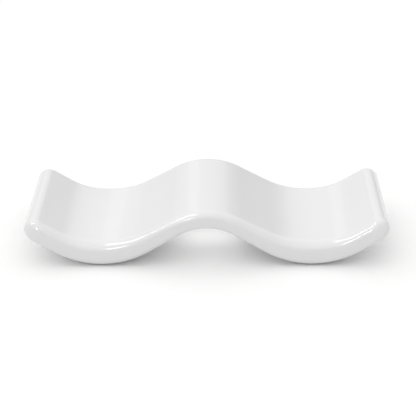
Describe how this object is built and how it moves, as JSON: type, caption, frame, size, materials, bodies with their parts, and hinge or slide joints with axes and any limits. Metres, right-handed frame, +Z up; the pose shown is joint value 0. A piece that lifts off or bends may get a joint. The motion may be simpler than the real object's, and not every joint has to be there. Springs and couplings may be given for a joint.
{
  "type": "spoon rest",
  "caption": "Wave-shaped glazed porcelain spoon rest with a raised crest between open troughs, upturned rounded ends and bare ground feet underneath.",
  "frame": {"origin": "on the table, under the middle of the crest", "axes": "+X along the wave from the left lip to the right lip, +Y from front to back, +Z up"},
  "size_m": [0.1098, 0.0406, 0.0182],
  "materials": {
    "bisque": "matt unglazed porcelain, ground flat",
    "glaze": "clear gloss glaze on white porcelain"
  },
  "bodies": {
    "root": {"porcelain_body": "bisque", "glaze_coat": "glaze"}
  },
  "joints": []
}
